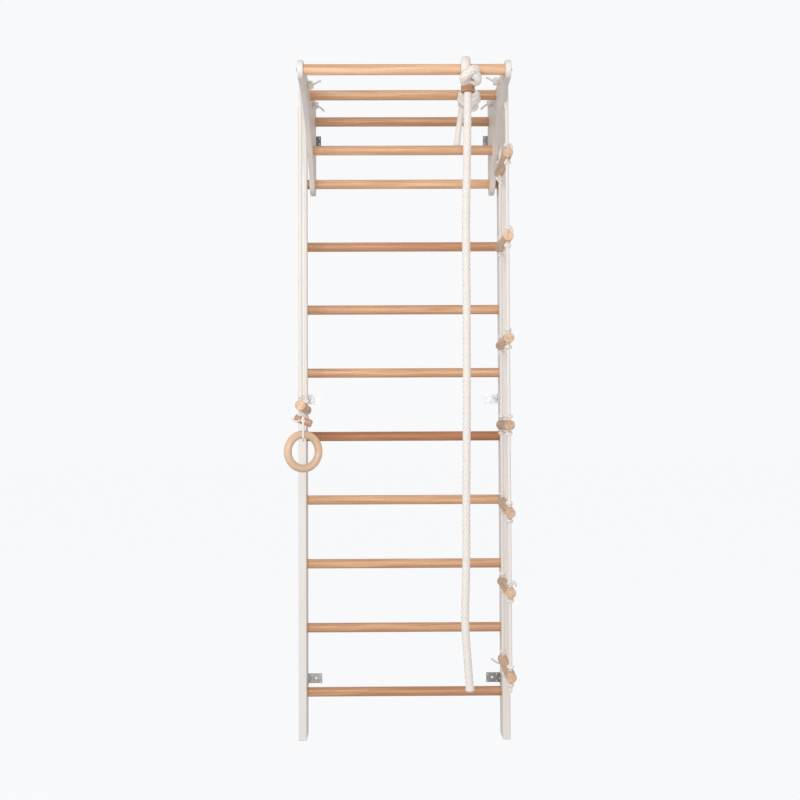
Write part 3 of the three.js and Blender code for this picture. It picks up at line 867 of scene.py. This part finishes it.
def panel_knot(kind, place):
    """The knot inside a panel, its short tail, and the bight that comes through the hole and turns down."""
    node, cord = f"{kind}_knot_{place}", f"{kind}_cord_front"
    side = 1 if kind == "ladder" else -1
    y, z = middle(node).yz
    hang, top = middle(cord).x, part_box(cord)[1].z
    start = Vector((face_x(node, -side, 10 * MM), y, z + PANEL_KNOT_LIFTS.get((kind, place), 0)))
    bight = spline([start, (hang - side * 9 * MM, y, z + 0.4 * MM), (hang - side * 2.5 * MM, y, z - 1.6 * MM),
                    (hang, y, top - 0.5 * MM)], 1.4 * MM)
    steps = [start + Vector((-side * a, b, c)) * MM for a, b, c in PANEL_TAILS[place]]
    tail = spline([start, *steps], 1.4 * MM)
    piece = joined(node + "_tied", [
        rope_mesh("bight", bight, CORD_R), rope_mesh("tail", tail, CORD_R * 0.55, fray=6 * MM),
        knot_mesh("knot", start, (side, 0.1, 0.1), CORD_R, 0.8 + y * 9)])
    keep(piece, "frame", [node])


# How much higher the rear end of each rod on cords is than its middle, in millimetres.
LEANS = {"trapeze_bar": -6, **dict(zip(LADDER_RUNGS, (-2, 1, -3, 0, 9, -1, 1)))}


def rod_ends(node):
    """Both ends of a rod on cords, front then rear."""
    half = Vector((0, ROD_LONG / 2, LEANS[node] * MM))
    half *= ROD_LONG / 2 / half.length
    return middle(node) - half, middle(node) + half


# Loose tails that show beside a rod: the height above the rod's middle that they leave at, and how they run
# along X and Z from there, in millimetres.
LOOSE_TAILS = {("ladder", "front", 0): (26, [(8, 4), (13, -2), (15, -9)]),
               ("ladder", "front", 1): (26, [(8, 4), (13, -2), (15, -9)]),
               ("ladder", "front", 5): (26, [(9, 6), (15, 0), (18, -9)]),
               ("ladder", "rear", 6): (-8, [(-16, 0), (-27, 5), (-36, 13)])}


def hanging_cord(kind, place, body, rods):
    """A cord down through its rods, with a knot above and below each one and a loose tail where one shows."""
    node = f"{kind}_cord_{place}"
    low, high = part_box(node)
    x, y = (low.x + high.x) / 2, (low.y + high.y) / 2
    knots, tails = [], []
    for i, rod in enumerate(rods):
        front, rear = rod_ends(rod)
        z = front.z + (rear.z - front.z) * (y - front.y) / (rear.y - front.y)
        for way in (-1, 1):
            centre = (x, y, z + way * (BAR_R + CORD_SPACE))
            turn = 0.7 * i + 1.9 * way + (0.4 if place == "front" else 2.2)
            knots.append(knot_mesh("knot", centre, (0.15 * way, 0.1, 1), PULLED_CORD_R, turn, depth=0.66))
        if (kind, place, i) in LOOSE_TAILS:
            height, steps = LOOSE_TAILS[kind, place, i]
            route = [Vector((x, y, z + height * MM))]
            route += [route[0] + Vector((reach, -2, rise)) * MM for reach, rise in steps]
            tails.append(rope_mesh("tail", spline(route, 1.6 * MM), CORD_R * 0.6, fray=5 * MM))
    tied = joined(f"{node}_knots", knots + tails)
    keep(tied, body)
    line = spline([(x, y, high.z), (x, y, (high.z + low.z) / 2), (x, y, low.z)], 1.7 * MM)
    cord_piece(f"{node}_braided", line, CORD_R, body, [node])


class WALLBARS_OT_rope_ladder(bpy.types.Operator):
    """Makes the rope ladder's two knotted cords and the knots that hold them in the right panel"""

    bl_idname = "wallbars.rope_ladder"
    bl_label = "Rope ladder"

    def execute(self, context):
        for place in ("front", "rear"):
            hanging_cord("ladder", place, "rope_ladder", LADDER_RUNGS)
            panel_knot("ladder", place)
        return {"FINISHED"}


# The loose end of the ring's cord, from the toggle's middle, in millimetres.
RING_TAIL = [(-10, -12, 2), (-20, -12, 0), (-27, -9, 3), (-32, -6, 7)]


class WALLBARS_OT_trapeze(bpy.types.Operator):
    """Makes the trapeze's two cords, the knots that hold them in the left panel, and the ring's own cord"""

    bl_idname = "wallbars.trapeze"
    bl_label = "Trapeze and ring cord"

    def execute(self, context):
        for place in ("front", "rear"):
            hanging_cord("trapeze", place, "trapeze", ["trapeze_bar"])
            panel_knot("trapeze", place)
        self.ring_cord()
        return {"FINISHED"}

    def ring_cord(self):
        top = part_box("ring_cord")[1].z
        centre, toggle = middle("ring"), middle("ring_toggle")
        out = Vector((-0.06, 1, 0)).normalized()  # the loop runs from front to rear, almost along Y
        section_z = centre.z + RING_R
        r = RING_SECTION_R + RING_CORD_R + 1.6 * MM
        base = Vector((centre.x, centre.y, 0))

        def at(across, z):
            return base + out * across + Vector((0, 0, z))

        arc = [at(-r * math.cos(a), section_z - r * math.sin(a))
               for a in np.linspace(-0.1, math.pi + 0.1, 12)]
        points = [at(-10 * MM, top), at(-14.5 * MM, toggle.z), at(-15.5 * MM, toggle.z - 12 * MM), *arc,
                  at(7 * MM, toggle.z - 13 * MM), at(5 * MM, toggle.z - 4 * MM)]
        line = spline(points, 1.3 * MM)
        tail = spline([toggle + Vector(step) * MM for step in RING_TAIL], 1.3 * MM)
        tied = joined("ring_cord_knot", [
            knot_mesh("knot", toggle + Vector((0, -10 * MM, 3 * MM)), (0, -1, 0.3), RING_CORD_R * 0.8, 0.5),
            rope_mesh("tail", tail, RING_CORD_R * 0.85, fray=5 * MM)])
        keep(tied, "ring")
        cord_piece("ring_cord_braided", line, RING_CORD_R, "ring", ["ring_cord"])


# ---------------------------------------------------------------- wood


def rod_piece(name, start, end, tone, look, body, slot, replaces, radius=BAR_R, edge=None):
    piece = tree("rod").run(name, points_mesh([(0, 0, 0)]), {
        "Start": tuple(start), "End": tuple(end), "Radius": radius, "Sides": 64, "Tone": tone,
        "Material": material(look)}, edge=edge or settings().rod_edge)
    smooth_where(piece.data, lambda face: len(face.vertices) < 8)
    keep(piece, body, replaces)


# From 0 for the darkest beech of its kind to 1 for the palest.
WALL_TONES = (0.46, 0.58, 0.72, 0.80, 0.14, 0.76, 0.62, 0.46, 0.98, 0.62)
BAR_TONES = {"front_bar": 1.0, "middle_bar": 0.88, "rear_bar": 0.86}
LADDER_TONES = (0.62, 0.8, 0.74, 0.26, 0.58, 0.64, 0.66)
# The toggle's low tone is partly painted shade: it is as dark as the toggle looks in the shade under the
# trapeze bar.
TRAPEZE_TONE, TOGGLE_TONE_AND_SHADE, RING_TONE = 0.86, 0.25, 0.93
TOGGLE_R = 11 * MM
TOGGLE_EDGE = 5 * MM
TOGGLE_LIFT = 2 * MM
TOGGLE_TILT = 0.37  # radians, down towards the right
RING_TURN = 0.515  # radians about the upright


class WALLBARS_OT_rungs(bpy.types.Operator):
    """Makes every turned rod: the wall ladder's rungs, the pull-up bars, the rods on cords and the toggle"""

    bl_idname = "wallbars.rungs"
    bl_label = "Rungs and bars"

    def execute(self, context):
        for node, tone in [*zip(WALL_RUNGS, WALL_TONES), *BAR_TONES.items()]:
            start, end = ((face_x(node, side), *middle(node).yz) for side in (-1, 1))
            rod_piece(f"{node}_turned", start, end, tone, "beech_x", "frame", "beech", [node])
        hung = [(n, t, "rope_ladder", "dark_beech") for n, t in zip(LADDER_RUNGS, LADDER_TONES)]
        for node, tone, body, slot in [*hung, ("trapeze_bar", TRAPEZE_TONE, "trapeze", "beech")]:
            rod_piece(f"{node}_turned", *rod_ends(node), tone, "beech_pale", body, slot, [node])
        low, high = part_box("ring_toggle")
        centre = (low + high) / 2 + Vector((0, 0, TOGGLE_LIFT))
        dip = Vector((math.cos(TOGGLE_TILT), 0, -math.sin(TOGGLE_TILT))) * (high.x - low.x) / 2
        rod_piece("ring_toggle_turned", centre - dip, centre + dip, TOGGLE_TONE_AND_SHADE, "beech_pale", "ring",
                  "dark_beech", ["ring_toggle"], TOGGLE_R, TOGGLE_EDGE)
        return {"FINISHED"}


class WALLBARS_OT_ring(bpy.types.Operator):
    """Makes the gymnastic ring from bent beech"""

    bl_idname = "wallbars.ring"
    bl_label = "Gymnastic ring"

    def execute(self, context):
        sides, count = 32, 128
        around, section = np.arange(count) * TAU / count, np.arange(sides) * TAU / sides
        reach = RING_R + RING_SECTION_R * np.cos(section)[None, :]
        side = np.broadcast_to(RING_SECTION_R * np.sin(section), (count, sides))
        flat = np.stack([reach * np.cos(around)[:, None], side, reach * np.sin(around)[:, None]], -1)
        spin = np.array(Matrix.Rotation(RING_TURN, 3, "Z"))
        points = flat.reshape(-1, 3) @ spin.T + np.array(middle("ring"))
        uv = [((i + a) * 0.05, j + b) for i in range(count) for j in range(sides)
              for a, b in ((0, 0), (1, 0), (1, 1), (0, 1))]
        piece = from_arrays("ring_turned", points, closed_faces(count, sides), "beech_bent", uv,
                            {"tone": np.full(len(points), RING_TONE)})
        tidy_normals(piece.data)
        keep(piece, "ring", ["ring"])
        return {"FINISHED"}


# ---------------------------------------------------------------- painted boards


def board(name, outline, holes, thickness, low_x):
    """A flat board with rounded edges, from its side view in Y and Z."""
    edge = settings().board_edge
    data = bpy.data.curves.new(name, "CURVE")
    data.dimensions, data.fill_mode = "2D", "BOTH"
    for ring in [outline, *holes]:
        line = data.splines.new("POLY")
        line.points.add(len(ring) - 1)
        for point, (y, z) in zip(line.points, ring):
            point.co = (y, z, 0, 1)
        line.use_cyclic_u = True
    data.extrude = thickness / 2 - edge
    data.bevel_depth, data.bevel_resolution, data.offset = edge, 3, -edge
    work = bpy.data.objects.new("work", data)
    bpy.context.scene.collection.objects.link(work)
    graph = bpy.context.evaluated_depsgraph_get()
    mesh = bpy.data.meshes.new_from_object(work.evaluated_get(graph))
    bpy.data.objects.remove(work)
    upright = Matrix(((0, 0, 1, low_x + thickness / 2), (1, 0, 0, 0), (0, 1, 0, 0), (0, 0, 0, 1)))
    mesh.transform(upright)
    mesh.materials.clear()
    mesh.materials.append(material("paint"))
    tidy_normals(mesh)
    smooth_where(mesh, lambda face: abs(face.normal.x) < 0.999)
    mesh.name = name
    return bpy.data.objects.new(name, mesh)


def bezier(a, b, c, d, count=24):
    t = np.linspace(0, 1, count, endpoint=False)[:, None]
    a, b, c, d = (np.array(p, float) for p in (a, b, c, d))
    return list(map(tuple, (1 - t) ** 3 * a + 3 * (1 - t) ** 2 * t * b + 3 * (1 - t) * t**2 * c + t**3 * d))


def quadratic(a, b, c, count=12):
    ab = tuple(p + (q - p) * 2 / 3 for p, q in zip(a, b))
    cb = tuple(p + (q - p) * 2 / 3 for p, q in zip(c, b))
    return bezier(a, ab, cb, c, count)


def circle(centre, radius, count=40):
    return [(centre[0] + radius * math.cos(a), centre[1] + radius * math.sin(a))
            for a in np.linspace(0, TAU, count, endpoint=False)]


SMALL_FACE = 400 * MM * MM  # a post's faces below this size are those of its rounded edges


def panel_outline():
    """The arm that carries the bars, in millimetres: level above, arched below, with a rounded foot."""
    y, z, nose, foot = -627, 1988, 26, 1740
    outline = bezier((y, z - nose), (-425, z - nose), (-215, 1870), (-110, 1762), 48)
    outline += quadratic((-110, 1762), (-90, foot), (-68, foot))
    outline += quadratic((-38, foot), (-9, foot), (-9, foot + 30))
    outline += quadratic((-9, 2026), (-9, 2050), (-36, 2050))
    outline += bezier((-80, 2050), (-150, 2050), (-190, 2018), (-290, 2018), 24)
    outline += [(-290, 2018)]
    outline += [(y + nose * math.cos(a), z + nose * math.sin(a))
                for a in np.linspace(math.pi / 2, 1.5 * math.pi, 24)]
    return [(a * MM, b * MM) for a, b in outline[:-1]]


class WALLBARS_OT_boards(bpy.types.Operator):
    """Makes the two posts and the two side panels, painted white"""

    bl_idname = "wallbars.boards"
    bl_label = "Posts and panels"

    def execute(self, context):
        for side in SIDES:
            node = f"{side}_panel"
            low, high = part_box(node)
            holes = [circle(middle(rung).yz, BAR_R + 0.4 * MM) for rung in ("rung_09", "rung_10")]
            holes += [circle(middle(f"ladder_knot_{place}").yz, CORD_R + 0.6 * MM, 24)
                      for place in ("front", "rear")]
            piece = board(f"{node}_painted", panel_outline(), [h[::-1] for h in holes], high.x - low.x, low.x)
            keep(piece, "frame", [node])
            self.post(f"{side}_post")
        return {"FINISHED"}

    def post(self, node):
        low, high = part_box(node)
        made = bmesh.new()
        bmesh.ops.create_cube(made, size=1)
        bmesh.ops.scale(made, vec=high - low, verts=made.verts)
        bmesh.ops.translate(made, vec=(low + high) / 2, verts=made.verts)
        bmesh.ops.bevel(made, geom=made.edges[:], offset=settings().board_edge, segments=4, profile=0.5,
                        affect="EDGES")
        mesh = bpy.data.meshes.new(node)
        made.to_mesh(mesh)
        made.free()
        smooth_where(mesh, lambda face: face.area < SMALL_FACE)
        mesh.materials.append(material("paint"))
        keep(bpy.data.objects.new(f"{node}_painted", mesh), "frame", [node])


# ---------------------------------------------------------------- fittings

# Painted shade: the brackets that sit in shade, or that mirror darker things, get darker copies of the zinc.
BRACKET_LOOKS = {("left", "low"): "zinc", ("left", "middle"): "zinc", ("left", "high"): "zinc_painted_deep_shade",
                 ("right", "low"): "zinc_painted_shade", ("right", "middle"): "zinc", ("right", "high"): "zinc_painted_shade"}


def screws(name, points, side, radius, height, replaces=()):
    """Screw heads that face that side, as one piece."""
    piece = tree("screw").run(name, points_mesh(points), {
        "Radius": radius, "Height": height, "Turn": (0, side * math.pi / 2, 0),
        "Material": material("zinc"), "Recess": material("recess")})
    keep(piece, "frame", replaces)


class WALLBARS_OT_fittings(bpy.types.Operator):
    """Finishes the brackets and makes every screw head"""

    bl_idname = "wallbars.fittings"
    bl_label = "Brackets and screws"

    def execute(self, context):
        levels = ("low", "middle", "high")
        for side, way in SIDES.items():
            for level in levels:
                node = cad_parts[f"{side}_bracket_{level}"]
                node.data.materials.clear()
                node.data.materials.append(material(BRACKET_LOOKS[side, level]))
            nodes = [f"{side}_bracket_screw_{level}" for level in levels]
            spots = [(face_x(n, -way, 2.6 * MM), *middle(n).yz) for n in nodes]
            screws(f"{side}_bracket_screws", spots, -way, 4.6 * MM, 2.6 * MM, nodes)
            nodes = [f"{bar}_screw_{side}" for bar in BARS]
            spots = [(face_x(n, way, 3.4 * MM), *middle(n).yz) for n in nodes]
            screws(f"{side}_bar_screws", spots, way, 6.6 * MM, 3.4 * MM, nodes)
            spots = [(face_x(f"{side}_post", way, 0.3 * MM), *middle(n).yz) for n in WALL_RUNGS]
            screws(f"{side}_rung_screws", spots, way, 4.8 * MM, 1.7 * MM)
        return {"FINISHED"}


# ---------------------------------------------------------------- panel and start

OPERATORS = (WALLBARS_OT_stage, WALLBARS_OT_climbing_rope, WALLBARS_OT_rope_ladder, WALLBARS_OT_trapeze,
             WALLBARS_OT_rungs, WALLBARS_OT_ring, WALLBARS_OT_boards, WALLBARS_OT_fittings)


class WALLBARS_PT_sidebar(bpy.types.Panel):
    """Lists the steps that make the wall bars"""

    bl_idname = "WALLBARS_PT_sidebar"
    bl_label = "Wall bars"
    bl_space_type = "VIEW_3D"
    bl_region_type = "UI"
    bl_category = "Wall bars"

    def draw(self, context):
        for name in WallBarsSettings.__annotations__:
            self.layout.prop(context.scene.wall_bars, name)
        for step in OPERATORS:
            self.layout.operator(step.bl_idname)


CLASSES = (WallBarsSettings, *OPERATORS, WALLBARS_PT_sidebar)


def register():
    for made in CLASSES:
        bpy.utils.register_class(made)
    bpy.types.Scene.wall_bars = bpy.props.PointerProperty(type=WallBarsSettings)


def unregister():
    del bpy.types.Scene.wall_bars
    for made in reversed(CLASSES):
        bpy.utils.unregister_class(made)


def main():
    register()
    for step in OPERATORS:
        group, name = step.bl_idname.split(".")
        getattr(getattr(bpy.ops, group), name)()


if __name__ == "__main__":
    main()
